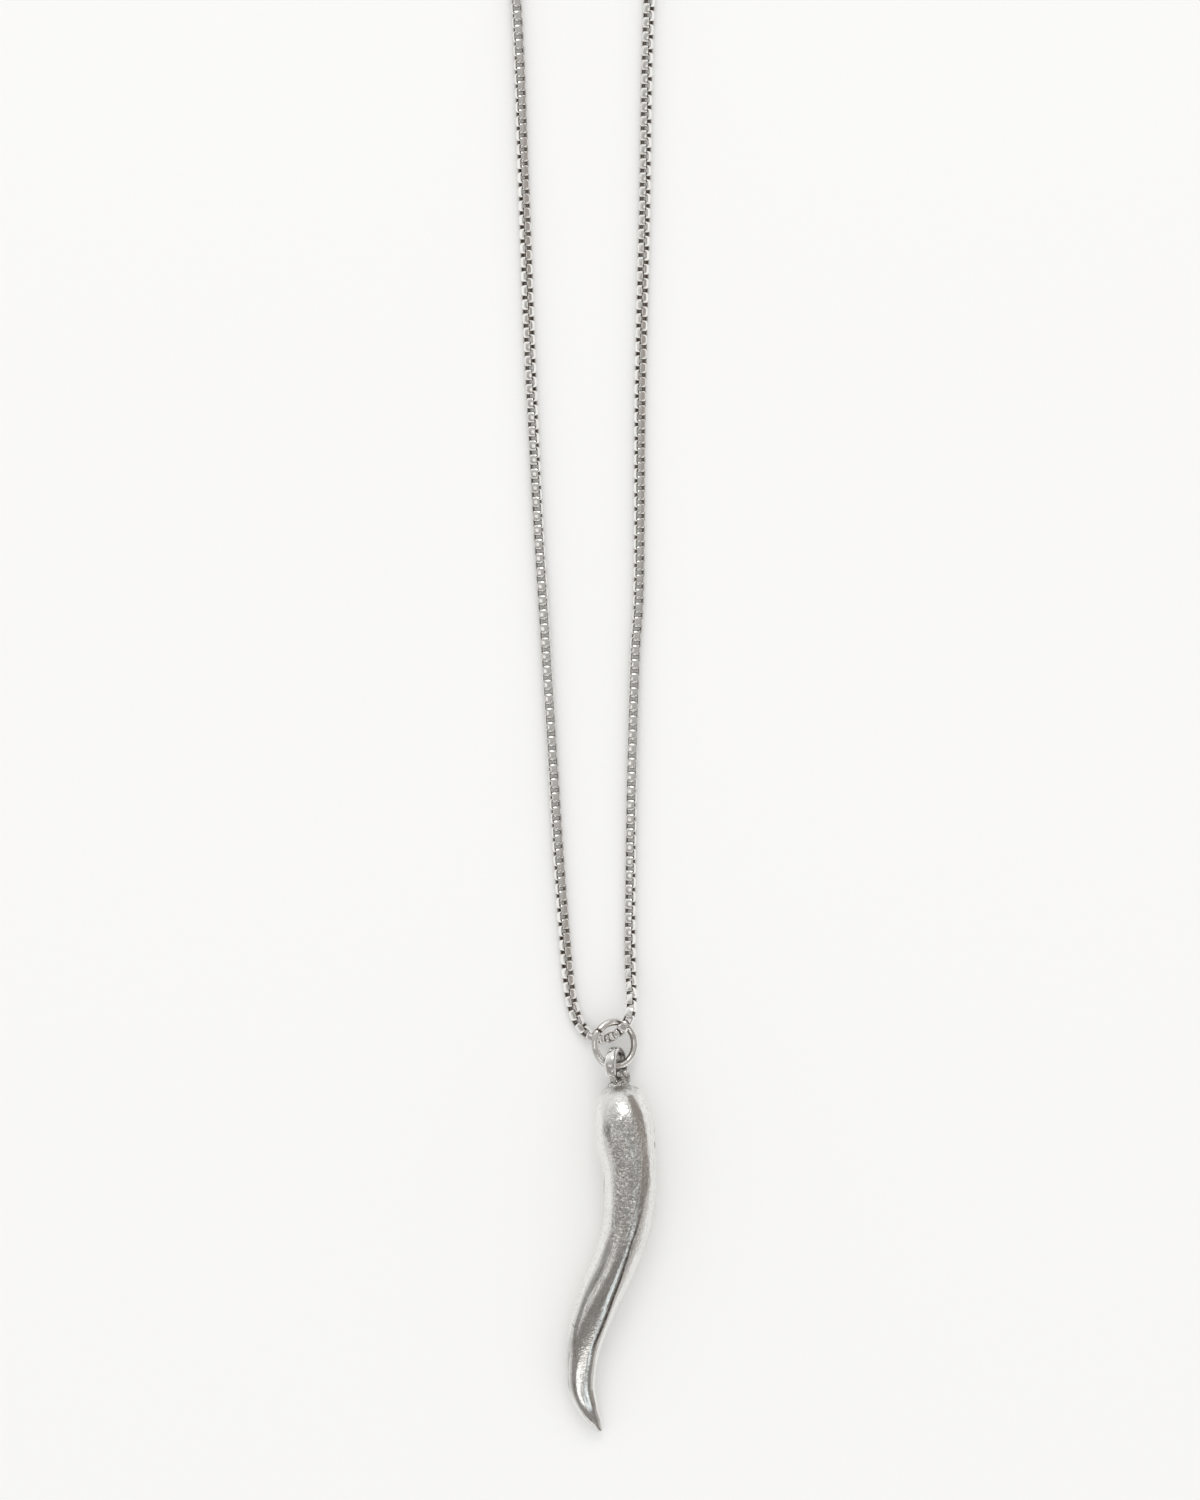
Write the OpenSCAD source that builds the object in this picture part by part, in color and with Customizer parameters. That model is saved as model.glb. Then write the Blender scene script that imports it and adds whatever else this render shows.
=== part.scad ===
// A cornicello horn pendant on a box chain, lying flat on a surface at z = 0.
// The horn points along -Y, the chain runs up +Y, and +Z is up from the surface.

/* [Horn] */
// Length of the horn along Y, from its crown to its tip
horn_length = 38.4; // [35:0.2:42]
// Greatest width of the horn, just below its shoulder
horn_width = 6.8; // [6.2:0.1:7.4]
// Thickness of the horn as a share of its width
horn_roundness = 0.98; // [0.85:0.01:1]
// How far the middle line swings from its mean to each side
horn_swing = 2.83; // [2:0.01:3.4]
// Number of sides of the horn's cross-sections
horn_sides = 28; // [20:4:36]

/* [Bail loop] */
// Outer diameter of the loop cast on the crown
bail_od = 4.3; // [4.2:0.1:4.6]
// Width of the loop's strap, along the axis of its hole
bail_strap_width = 1.3; // [1:0.1:1.4]
// Thickness of the loop's strap
bail_strap_thick = 0.8; // [0.6:0.1:0.9]
// Roll of the loop about Y, its left leg going up
bail_roll = 68; // [67:1:72]
// Diameter of the solder under the loop
solder_d = 2.8; // [2.2:0.1:3]

/* [Jump ring] */
// Outer diameter of the ring
ring_od = 5.7; // [5.6:0.1:5.9]
// Diameter of its wire
ring_wire = 0.8; // [0.6:0.1:0.8]
// Tilt of the ring, its left side going up
ring_tilt = 27; // [24:1:28]
// Direction of the ring's level line, from +X
ring_lean = 94; // [90:1:98]

/* [Chain] */
// Diameter of the chain over its flats
chain_d = 1.3; // [1.1:0.1:1.3]
// Outer diameter of the small ring soldered to each end
end_ring_od = 3.2; // [3:0.1:3.3]
// Wire of those end rings
end_ring_wire = 0.6; // [0.5:0.1:0.6]

/* [Clasp] */
// Outer diameter of the spring ring
clasp_od = 6; // [5.8:0.1:6.4]
// Diameter of its round tube
clasp_tube = 1.2; // [1:0.1:1.2]
// Outer diameter of its fixed eye
eye_od = 2.6; // [2.6:0.1:2.8]
// Wire of the eye
eye_wire = 0.6; // [0.5:0.1:0.6]
// Diameter of the thumb lug
lug_d = 0.8; // [0.6:0.1:0.9]

/* [Hidden] */
$fn = 48;

// All places below are measured from the middle of the jump ring, on the surface.
// These two say where the middle of the whole outline lies, and the part moves by them to its origin.
outline_x = -3.5;
outline_y = 96.17;

// Horn: the columns are the share of the length from the crown, the share of the swing to the
// right, the height of the underside, and the share of the greatest width.
ALONG = 0;
SIDE = 1;
UNDER = 2;
WIDE = 3;
HORN_ROWS = [
    [0.000, 0.58, 0.90, 0.38],
    [0.010, 0.59, 0.30, 0.60],
    [0.030, 0.62, 0.14, 0.75],
    [0.062, 0.66, 0.05, 0.88],
    [0.102, 0.72, 0.00, 0.97],
    [0.160, 0.80, 0.00, 1.00],
    [0.220, 0.94, 0.04, 0.93],
    [0.297, 0.99, 0.12, 0.885],
    [0.400, 0.85, 0.18, 0.80],
    [0.505, 0.40, 0.14, 0.755],
    [0.610, -0.23, 0.04, 0.72],
    [0.714, -0.72, 0.20, 0.615],
    [0.792, -0.90, 0.28, 0.525],
    [0.870, -0.93, 0.00, 0.465],
    [0.935, -0.66, 0.15, 0.35],
    [0.974, -0.38, 0.26, 0.23],
    [1.000, -0.19, 0.43, 0.10],
];
crown_y = -4.6;
horn_mean_x = -1.08;
horn_steps = 3;

// Bail loop, and the solder that joins it to the crown
bail_centre = [0.1, -2.35, 2.12];
bail_profile_points = 16;
solder_centre = [0.45, -4.75, 2.2];
solder_length = 1.7;

// Jump ring
ring_height = 2.08;

// End rings stand on edge, and the clasp lies level through both, a little below their middles
end_ring_z = end_ring_od / 2;
clasp_drop = 0.1;
clasp_centre = [-2.4, 232.5, end_ring_z - clasp_drop];
eye_sunk = 0.4;
eye_x = -(clasp_od / 2 + eye_od / 2 - eye_sunk);
lug_angle = -60;
lug_length = 1.1;

// Each end ring pulls outward on what it holds
ring_play = 0.1;
end_ring_r = (end_ring_od - end_ring_wire) / 2;
left_hold_x = eye_x - (eye_od - eye_wire) / 2 + eye_wire / 2 + ring_play + end_ring_wire / 2;
right_hold_x = clasp_od / 2 - clasp_tube - ring_play - end_ring_wire / 2;

// Chain: where its middle line runs, and how far it is lifted off the surface.
chain_sides = 8;
chain_steps = 2;
chain_lie = 0.69;
CHAIN_ROUTE = [
    // Left of the clasp and round the hidden turn
    [-8.7, 232.5, 0.9],
    [-15.2, 229.8, 0.2],
    [-22.2, 223.4, 0],
    [-26.5, 210, 0],
    [-25.2, 193, 0],
    [-21, 172, 0],
    [-16, 151, 0],
    [-12.3, 132, 0],
    // Left strand
    [-10.9, 115, 0],
    [-10.2, 97, 0],
    [-9.4, 76, 0],
    [-8.5, 58, 0],
    [-7.4, 40, 0],
    [-6.2, 20, 0],
    [-5.2, 7.5, 0],
    // Under the ring's left side, through it, and over its right side
    [-4.5, 3.6, 0],
    [-3.6, 1.8, 0],
    [-2.4, 0.8, 0.2],
    [-1.2, 0.6, 0.6],
    [-0.2, 0.9, 1.1],
    [0.6, 1.5, 1.8],
    [1.2, 2.2, 2.3],
    [1.7, 3.3, 2.4],
    [1.85, 5, 1.7],
    [1.75, 8, 0.4],
    // Right strand
    [1.7, 13, 0],
    [1.9, 30, 0],
    [2.25, 43, 0],
    [2.65, 51, 0],
    [2.8, 72, 0],
    [3.3, 92, 0],
    [3.8, 115, 0],
    // The hidden turn again, back to the right of the clasp
    [5.3, 132, 0],
    [9, 151, 0],
    [14, 172, 0],
    [18.2, 193, 0],
    [19.5, 210, 0],
    [15.2, 223.4, 0],
    [8.2, 229.8, 0.2],
    [1.7, 232.5, 0.9],
];

// Value of a smooth curve through the rows of a table, at a place counted in rows
function row_at(t, i) = t[max(0, min(len(t) - 1, i))];
function smooth(t, at) =
    let (
        i = min(floor(at), len(t) - 2),
        u = at - i,
        a = row_at(t, i - 1),
        b = row_at(t, i),
        c = row_at(t, i + 1),
        d = row_at(t, i + 2)
    )
    b + u / 2 * ((c - a) + u * ((2 * a - 5 * b + 4 * c - d) + u * (3 * (b - c) + d - a)));

function unit(v) = v / norm(v);

// Direction of a list of points at its place i
function heading(points, i) = unit(row_at(points, i + 1) - row_at(points, i - 1));

// One closed skin over a list of rings that have the same number of points
function skin_points(rings) = [for (r = rings) each r];
function skin_faces(count, sides) = concat(
    [[for (k = [0 : sides - 1]) k]],
    [
        for (i = [0 : count - 2], k = [0 : sides - 1])
            let (a = i * sides + k, b = i * sides + (k + 1) % sides)
            each [[a, a + sides, b], [b, a + sides, b + sides]]
    ],
    [[for (k = [sides - 1 : -1 : 0]) (count - 1) * sides + k]]
);

module skin(rings) {
    polyhedron(
        points = skin_points(rings),
        faces = skin_faces(len(rings), len(rings[0])),
        convexity = 6
    );
}

// Horn: an upright, nearly round section at each place along a curved middle line
horn_places = [for (s = [0 : (len(HORN_ROWS) - 1) * horn_steps]) smooth(HORN_ROWS, s / horn_steps)];

function horn_middle(row) = [
    horn_mean_x + horn_swing * row[SIDE],
    crown_y - horn_length * row[ALONG]
];

horn_line = [for (row = horn_places) horn_middle(row)];
corner_reach = 1 / cos(180 / horn_sides);

function horn_ring(i) =
    let (
        row = horn_places[i],
        forward = heading(horn_line, i),
        across = [-forward.y, forward.x],
        half_width = horn_width * row[WIDE] / 2,
        half_height = half_width * horn_roundness,
        middle_z = max(0, row[UNDER]) + half_height
    )
    [
        for (k = [0 : horn_sides - 1])
            let (
                angle = 360 * (k + 0.5) / horn_sides,
                plan = horn_line[i] + across * half_width * corner_reach * cos(angle)
            )
            [plan.x, plan.y, middle_z + half_height * corner_reach * sin(angle)]
    ];

module horn_body() {
    skin([for (i = [0 : len(horn_places) - 1]) horn_ring(i)]);
}

module bail_loop() {
    mean_r = (bail_od - bail_strap_thick) / 2;
    translate(bail_centre)
        rotate([0, bail_roll, 0])
            rotate_extrude()
                polygon([
                    for (k = [0 : bail_profile_points - 1])
                        let (angle = 360 * k / bail_profile_points)
                        [
                            mean_r + bail_strap_thick / 2 * cos(angle),
                            bail_strap_width / 2 * sin(angle)
                        ]
                ]);
}

module solder() {
    translate(solder_centre)
        rotate([90, 0, 0])
            cylinder(d = solder_d, h = solder_length, center = true);
}

module horn() {
    color("silver")
        on_outline() {
            horn_body();
            bail_loop();
            solder();
        }
}

// A closed ring of round wire about Z
module wire_ring(od, wire) {
    rotate_extrude()
        translate([(od - wire) / 2, 0])
            circle(d = wire);
}

module jump_ring() {
    color("gainsboro")
        on_outline()
            translate([0, 0, ring_height])
                rotate([0, 0, ring_lean])
                    rotate([ring_tilt, 0, 0])
                        wire_ring(ring_od, ring_wire);
}

// Chain: an eight-sided tube about its route, with a flat side down
chain_line = [
    for (s = [0 : (len(CHAIN_ROUTE) - 1) * chain_steps])
        smooth(CHAIN_ROUTE, s / chain_steps) + [0, 0, chain_lie]
];

function chain_ring(i) =
    let (
        forward = heading(chain_line, i),
        across = unit(cross([0, 0, 1], forward)),
        above = cross(forward, across),
        corner_r = chain_d / 2 / cos(180 / chain_sides)
    )
    [
        for (k = [0 : chain_sides - 1])
            let (angle = 360 * (k + 0.5) / chain_sides)
            chain_line[i] + corner_r * (across * cos(angle) + above * sin(angle))
    ];

module end_ring(x) {
    translate([clasp_centre.x + x, clasp_centre.y, end_ring_z])
        rotate([90, 0, 0])
            wire_ring(end_ring_od, end_ring_wire);
}

module chain() {
    color("lightgray")
        on_outline() {
            skin([for (i = [0 : len(chain_line) - 1]) chain_ring(i)]);
            end_ring(left_hold_x - end_ring_r);
            end_ring(right_hold_x + end_ring_r);
        }
}

module clasp() {
    color("gainsboro")
        on_outline()
            translate(clasp_centre) {
                wire_ring(clasp_od, clasp_tube);
                translate([eye_x, 0, 0])
                    wire_ring(eye_od, eye_wire);
                rotate([0, 0, lug_angle])
                    translate([(clasp_od - clasp_tube) / 2, 0, 0])
                        rotate([0, 90, 0])
                            cylinder(d = lug_d, h = lug_length);
            }
}

module on_outline() {
    translate([-outline_x, -outline_y, 0])
        children();
}

horn();
jump_ring();
chain();
clasp();
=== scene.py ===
"""A silver cornicello horn with its jump ring and box chain, laid on a pale surface.

The part's frame has the horn along -Y, the chain up +Y and the surface at z = 0. Lengths are in
metres unless a name ends in _mm. Places in the tables are measured from the middle of the jump
ring, on the surface, and LAY says where that middle is in the frame.
"""

import logging
from collections import defaultdict
from dataclasses import dataclass, field
from enum import Enum
from functools import partial, reduce
from math import cos, degrees, exp, floor, pi, radians, sin
from typing import Any, Callable, Sequence, Union

import bmesh
import bpy
import numpy as np
from mathutils import Matrix, Vector, noise


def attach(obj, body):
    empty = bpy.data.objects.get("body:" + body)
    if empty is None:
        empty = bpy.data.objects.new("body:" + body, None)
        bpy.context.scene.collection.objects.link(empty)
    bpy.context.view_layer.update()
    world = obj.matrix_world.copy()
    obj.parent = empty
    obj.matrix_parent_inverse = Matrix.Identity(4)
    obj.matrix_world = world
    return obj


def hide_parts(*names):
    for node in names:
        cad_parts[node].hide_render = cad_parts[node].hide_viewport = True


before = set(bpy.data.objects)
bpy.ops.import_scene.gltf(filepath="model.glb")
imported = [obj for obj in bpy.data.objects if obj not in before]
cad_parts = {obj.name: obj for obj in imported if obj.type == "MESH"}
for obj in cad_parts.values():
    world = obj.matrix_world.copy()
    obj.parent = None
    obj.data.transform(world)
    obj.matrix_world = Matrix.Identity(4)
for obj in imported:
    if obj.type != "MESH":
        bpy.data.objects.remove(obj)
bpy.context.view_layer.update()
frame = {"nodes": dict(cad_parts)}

log = logging.getLogger("cornicello")

# A colour, a size each way or a place.
Triple = tuple[float, float, float]

MM = 0.001
UP = np.array((0.0, 0.0, 1.0))
LAY = np.array((0.0035, -0.09617, 0.0))

# Horn: share of the length from the crown, share of the swing to the right, height of the
# underside in millimetres, and share of the greatest width.
HORN_ROWS = (
    (0.000, 0.58, 0.90, 0.38),
    (0.010, 0.59, 0.30, 0.60),
    (0.030, 0.62, 0.14, 0.75),
    (0.062, 0.66, 0.05, 0.88),
    (0.102, 0.72, 0.00, 0.97),
    (0.160, 0.80, 0.00, 1.00),
    (0.220, 0.94, 0.04, 0.93),
    (0.297, 0.99, 0.12, 0.885),
    (0.400, 0.85, 0.18, 0.80),
    (0.505, 0.40, 0.14, 0.755),
    (0.610, -0.23, 0.04, 0.72),
    (0.714, -0.72, 0.20, 0.615),
    (0.792, -0.90, 0.28, 0.525),
    (0.870, -0.93, 0.00, 0.465),
    (0.935, -0.66, 0.15, 0.35),
    (0.974, -0.38, 0.26, 0.23),
    (1.000, -0.19, 0.43, 0.10),
)

# Painted dark band along the horn's top, standing in for the dim ceiling's reflection: share of
# the length, then the band's left and right edges in millimetres from the middle line.
DARK_BAND_ROWS = (
    (0.000, -2.10, 1.70),
    (0.050, -2.35, 2.00),
    (0.100, -2.50, 2.30),
    (0.150, -2.20, 2.48),
    (0.210, -1.97, 2.40),
    (0.300, -2.02, 1.92),
    (0.370, -2.00, 1.40),
    (0.440, -1.74, 1.12),
    (0.500, -1.75, 1.22),
    (0.550, -1.68, 1.46),
    (0.620, -1.71, 1.57),
    (0.680, -1.74, 1.52),
    (0.730, -1.74, 1.24),
    (0.785, -1.92, 1.00),
    (0.840, -1.84, 0.96),
    (0.890, -1.20, 0.85),
    (0.950, -0.72, 0.80),
    (1.000, -0.45, 0.40),
)

# Chain: the middle line's x, y and lift off the surface, and the roll of its links in degrees.
CHAIN_ROUTE = (
    (-0.0087, 0.2325, 0.0009, 0),
    (-0.0152, 0.2298, 0.0002, 0),
    (-0.0222, 0.2234, 0, 0),
    (-0.02638, 0.2100, 0, 4),
    (-0.0252, 0.1930, 0, 4),
    (-0.0210, 0.1720, 0, 4),
    (-0.0160, 0.1510, 0, 4),
    (-0.0123, 0.1320, 0, 5),
    (-0.0109, 0.1150, 0, 9),
    (-0.0102, 0.0970, 0, 28),
    (-0.0094, 0.0760, 0, 57),
    (-0.0085, 0.0580, 0, 80),
    (-0.0074, 0.0400, 0, 90),
    (-0.0062, 0.0200, 0, 108),
    (-0.0052, 0.0075, 0, 130),
    (-0.0045, 0.0036, 0, 140),
    (-0.0036, 0.0018, 0, 150),
    (-0.0024, 0.0008, 0.0002, 165),
    (-0.0012, 0.0006, 0.0006, 176),
    (-0.0002, 0.0009, 0.0011, 180),
    (0.0006, 0.0015, 0.0018, 182),
    (0.0012, 0.0022, 0.0023, 188),
    (0.0017, 0.0033, 0.0024, 200),
    (0.00185, 0.0050, 0.0017, 212),
    (0.00175, 0.0080, 0.0004, 218),
    (0.0017, 0.0130, 0, 206),
    (0.0019, 0.0300, 0, 183),
    (0.00225, 0.0430, 0, 174),
    (0.00265, 0.0510, 0, 164),
    (0.0028, 0.0720, 0, 152),
    (0.0033, 0.0920, 0, 125),
    (0.0038, 0.1150, 0, 122),
    (0.0053, 0.1320, 0, 124),
    (0.0090, 0.1510, 0, 136),
    (0.0140, 0.1720, 0, 156),
    (0.0182, 0.1930, 0, 172),
    (0.01938, 0.2100, 0, 178),
    (0.0152, 0.2234, 0, 180),
    (0.0082, 0.2298, 0.0002, 180),
    (0.0017, 0.2325, 0.0009, 180),
)


class Slot(Enum):
    """The record's material slots."""

    HORN = "cast_silver"
    RING = "silver_wire"
    CHAIN = "chain_silver"
    CLASP = "clasp_silver"


def smooth_row(rows: Sequence[Sequence[float]], at: float) -> np.ndarray:
    """Value of the smooth curve that the part's source draws through a table's rows.

    Args:
        rows: The table.
        at: Place along it, counted in rows.

    Returns:
        The interpolated row.
    """
    last = len(rows) - 1
    i = min(int(floor(at)), last - 1)
    u = at - i
    a, b, c, d = (np.array(rows[max(0, min(last, i + k))], float) for k in (-1, 0, 1, 2))
    return b + u / 2 * ((c - a) + u * ((2 * a - 5 * b + 4 * c - d) + u * (3 * (b - c) + d - a)))


def smooth_table(rows: Sequence[Sequence[float]], steps: int) -> np.ndarray:
    """A table's smooth curve, in so many steps to a row."""
    return np.array([smooth_row(rows, i / steps) for i in range((len(rows) - 1) * steps + 1)])


def unit(v: np.ndarray) -> np.ndarray:
    """The vector, or each row of vectors, at length 1."""
    return v / np.linalg.norm(v, axis=-1, keepdims=True)


def cos_of(angle: float) -> float:
    """Cosine of an angle in degrees."""
    return cos(radians(angle))


def sin_of(angle: float) -> float:
    """Sine of an angle in degrees."""
    return sin(radians(angle))


def distances(line: np.ndarray) -> np.ndarray:
    """How far along a line each of its points is."""
    return np.concatenate(((0.0,), np.cumsum(np.linalg.norm(np.diff(line, axis=0), axis=1))))


def ease(value: float, low: float, high: float) -> float:
    """Smooth step from 0 at low to 1 at high."""
    t = max(0.0, min(1.0, (value - low) / (high - low)))
    return t * t * (3 - 2 * t)


def grainy(place: Sequence[float], pitch: float, seed: float = 0.0) -> float:
    """Noise from -1 to 1 at a place, with bumps about one pitch apart."""
    return noise.noise(Vector(place) / pitch + Vector((seed, 1.7 * seed, 0.6 * seed)))


Value = Union["Wire", float]
Shading = Union["Wire", Sequence[float]]
Setting = Union[str, float, bool, Sequence]
Sockets = dict[Union[str, int], Union["Wire", float, Sequence[float]]]


def operator(operation: str, swapped: bool = False) -> Callable[["Wire", Value], "Wire"]:
    """Makes an operator of Wire.

    Args:
        operation: The Math node's operation.
        swapped: Whether the other value comes first.

    Returns:
        The method.
    """

    def work_out(self: "Wire", other: Value) -> "Wire":
        """The result of one Math node on the two values."""
        return self.bench.maths(operation, *((other, self) if swapped else (self, other)))

    return work_out


class Wire:
    """An output of a node. Arithmetic on it lays the Math nodes that work it out."""

    def __init__(self, bench: "Bench", socket: bpy.types.NodeSocket) -> None:
        """Keeps the bench and the output socket."""
        self.bench = bench
        self.socket = socket

    def out(self, name: Union[str, int]) -> "Wire":
        """Another output of the same node."""
        return Wire(self.bench, self.socket.node.outputs[name])

    def most(self, *others: Value) -> "Wire":
        """The greatest of this value and the others."""
        return reduce(partial(self.bench.maths, "MAXIMUM"), others, self)

    def __neg__(self) -> "Wire":
        """The value with its sign turned."""
        return self.bench.maths("MULTIPLY", self, -1.0)

    def __abs__(self) -> "Wire":
        """The value without its sign."""
        return self.bench.maths("ABSOLUTE", self)

    __add__ = operator("ADD")
    __radd__ = operator("ADD", swapped=True)
    __sub__ = operator("SUBTRACT")
    __rsub__ = operator("SUBTRACT", swapped=True)
    __mul__ = operator("MULTIPLY")
    __rmul__ = operator("MULTIPLY", swapped=True)
    __truediv__ = operator("DIVIDE")
    __pow__ = operator("POWER")


class Bench:
    """The node tree of one finish, and the one way in which nodes get onto it."""

    def __init__(self, owner: Union[bpy.types.Material, bpy.types.World]) -> None:
        """Clears the tree of a material or a world for a fresh start."""
        owner.use_nodes = True
        self.tree = owner.node_tree
        self.tree.nodes.clear()

    def node(
        self, kind: str, settings: dict[str, Setting], sockets: Sockets, take: Union[str, int] = 0
    ) -> Wire:
        """Lays a node.

        Args:
            kind: The node's type without its ShaderNode prefix.
            settings: Its own properties.
            sockets: Values or wires of its inputs, by name or place.
            take: The output to give back.

        Returns:
            A wire from that output.
        """
        made = self.tree.nodes.new("ShaderNode" + kind)
        for name, value in settings.items():
            setattr(made, name, value)
        for name, value in sockets.items():
            if isinstance(value, Wire):
                self.tree.links.new(value.socket, made.inputs[name])
            else:
                made.inputs[name].default_value = value
        if not made.outputs:
            return Wire(self, made.inputs[0])
        return Wire(self, made.outputs[take])

    def maths(self, operation: str, *values: Value) -> Wire:
        """The result of one Math node on these values."""
        return self.node("Math", {"operation": operation}, dict(enumerate(values)))

    def stretched(self, place: Wire, across: float, along: float) -> Wire:
        """A place scaled by one number across the piece and another along it."""
        return self.node("VectorMath", {"operation": "MULTIPLY"}, {0: place, 1: (across, along, across)})

    def mask(self, value: Wire, low: float, high: float, below: float = 0.0, above: float = 1.0) -> Wire:
        """A value turned smoothly into one number below low and another above high."""
        ends = {"Value": value, "From Min": low, "From Max": high, "To Min": below, "To Max": above}
        return self.node("MapRange", {"interpolation_type": "SMOOTHSTEP"}, ends)

    def fade(self, value: Wire, low: float, high: float) -> Wire:
        """A smooth mask that is full below low and empty above high."""
        return self.mask(value, low, high, 1.0, 0.0)

    def between(self, value: Wire, low: float, full: float, still: float, high: float) -> Wire:
        """A smooth mask that is full from one value to the next and empty outside low and high."""
        return self.mask(value, low, full) * self.fade(value, still, high)

    def blend(self, share: Value, one: Shading, other: Shading) -> Wire:
        """A mix of two colours, with this share of the second."""
        return self.node("Mix", {"data_type": "RGBA"}, {0: share, 6: colour(one), 7: colour(other)}, 2)

    def grain(self, place: Wire, scale: float, detail: float = 2.0, rough: float = 0.5) -> Wire:
        """Noise from 0 to 1, by its bumps in a unit, its octaves and how strong the finer ones are."""
        settings = {"Vector": place, "Scale": scale, "Detail": detail, "Roughness": rough}
        return self.node("TexNoise", {}, settings)

    def bump(self, height_mm: Wire) -> Wire:
        """The normal of a surface that stands this many millimetres proud."""
        return self.node("Bump", {}, {"Strength": 1.0, "Distance": 1.0, "Height": height_mm * MM}, "Normal")

    def kept(self, name: str, take: str = "Fac") -> Wire:
        """A value or a vector that the mesh keeps at each point."""
        return self.node("Attribute", {"attribute_name": name}, {}, take)


def colour(value: Shading) -> Shading:
    """A colour as a socket takes it, with its alpha."""
    return value if isinstance(value, Wire) else (*value[:3], 1.0)


class Metal:
    """A bare metal's finish."""

    name: str = "metal"

    def dress(self, bench: Bench) -> Sockets:
        """Lays the finish's own nodes and gives what goes into the metal's sockets."""
        raise NotImplementedError

    def material(self) -> bpy.types.Material:
        """Makes the material.

        Returns:
            The finished material.
        """
        made = bpy.data.materials.new(self.name)
        bench = Bench(made)
        shader = bench.node("BsdfPrincipled", {}, {"Metallic": 1.0, "IOR": 1.45, **self.dress(bench)})
        bench.node("OutputMaterial", {}, {"Surface": shader})
        return made


@dataclass(frozen=True)
class Nick:
    """A small dent, scratch or spot on the horn laid out straight.

    Its place is how far it is to the right of the middle line and how far along the horn. A depth
    below 0 stands proud.
    """

    across_mm: float
    run_mm: float
    half_long_mm: float
    half_wide_mm: float
    turn_deg: float
    depth_mm: float
    dark: float = 0.0
    shine: float = 0.0


@dataclass(frozen=True)
class CastSilver(Metal):
    """Cast silver: swirly frosted grain by the crown, filed and buffed smoother towards the tip.

    A run is how far along the horn something starts and is full, and where it thins and ends.
    """

    name: str = "cast_silver"
    bright: Triple = (0.92, 0.915, 0.90)
    # The next three tones colour the painted dark band; the one after them is the dark colour of oxide,
    # painted shade, the painted line and the painted speckle.
    dim_tone: Triple = (0.290, 0.270, 0.254)
    grey: Triple = (0.305, 0.302, 0.292)
    brown: Triple = (0.275, 0.240, 0.217)
    oxide_and_shade: Triple = (0.13, 0.11, 0.095)
    frosted_roughness: float = 0.17
    buffed_roughness: float = 0.13
    frost_depth_mm: float = 0.085
    curl_depth_mm: float = 0.034
    buffed_depth_mm: float = 0.010
    line_depth_mm: float = 0.012
    speckle: float = 0.50
    wear: float = 0.85
    rubbed_share: float = 0.5
    smooth_strip_mm: tuple[float, float] = (0.80, 1.05)
    # The painted dark line: how far inside the band's right edge it lies, and where along the horn.
    painted_line_inside_mm: float = 0.14
    painted_line_run_mm: tuple[float, ...] = (13.2, 16.5, 28.5, 31.0)
    frost_run_mm: tuple[float, float] = (2.4, 4.6)
    # Runs of the painted dark band: where it deepens by the crown, where it is darkest, and where it fades
    # at the tip.
    band_start_run_mm: tuple[float, float] = (1.0, 4.0)
    band_dark_run_mm: tuple[float, float] = (7.5, 13.0)
    band_tip_run_mm: tuple[float, float] = (29.5, 32.0)
    # Nicks 8 to 10 are dark lines at the horn's very edges near the crown: painted reflection of the shade
    # on the sheet beside the horn.
    nicks: tuple[Nick, ...] = (
        Nick(1.66, 6.6, 1.5, 0.055, 102, -0.012, shine=0.8),
        Nick(1.30, 9.2, 1.7, 0.055, 97, -0.012, shine=0.8),
        Nick(1.08, 11.7, 1.6, 0.05, 95, -0.012, shine=0.7),
        Nick(-0.64, 19.0, 1.15, 0.08, 95, 0.022, shine=0.6),
        Nick(-0.68, 21.3, 1.35, 0.08, 88, 0.022, shine=0.8),
        Nick(-0.78, 24.6, 1.75, 0.09, 93, 0.022, shine=0.8),
        Nick(-0.36, 22.9, 1.3, 0.06, 86, 0.018, shine=0.6),
        Nick(-2.93, 11.1, 1.6, 0.045, 90, 0.03, 0.6),
        Nick(3.38, 5.2, 0.30, 0.06, 92, 0.03, 0.8),
        Nick(3.16, 7.1, 0.55, 0.06, 100, 0.03, 0.8),
        Nick(-1.49, 27.9, 0.42, 0.07, 38, 0.04, 0.75),
        Nick(0.49, 27.76, 0.13, 0.09, 0, 0.03, 0.7),
        Nick(0.98, 26.4, 0.10, 0.07, 0, 0.03, 0.6),
        Nick(-0.55, 14.32, 0.07, 0.07, 0, -0.03),
        Nick(-1.30, 16.39, 0.07, 0.07, 0, -0.03),
        Nick(-0.45, 30.07, 0.08, 0.08, 0, -0.03),
        Nick(-0.49, 6.29, 0.14, 0.10, 20, -0.03),
        Nick(0.31, 9.32, 0.22, 0.12, 50, -0.03),
        Nick(-1.95, 4.67, 1.1, 0.62, 86, 0.010, 0.42),
        Nick(-0.10, 38.6, 1.1, 0.05, 90, 0.02, 0.3),
    )

    def dress(self, bench: Bench) -> Sockets:
        """What goes into the metal's sockets."""
        return HornNodes(bench, self).sockets()


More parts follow.
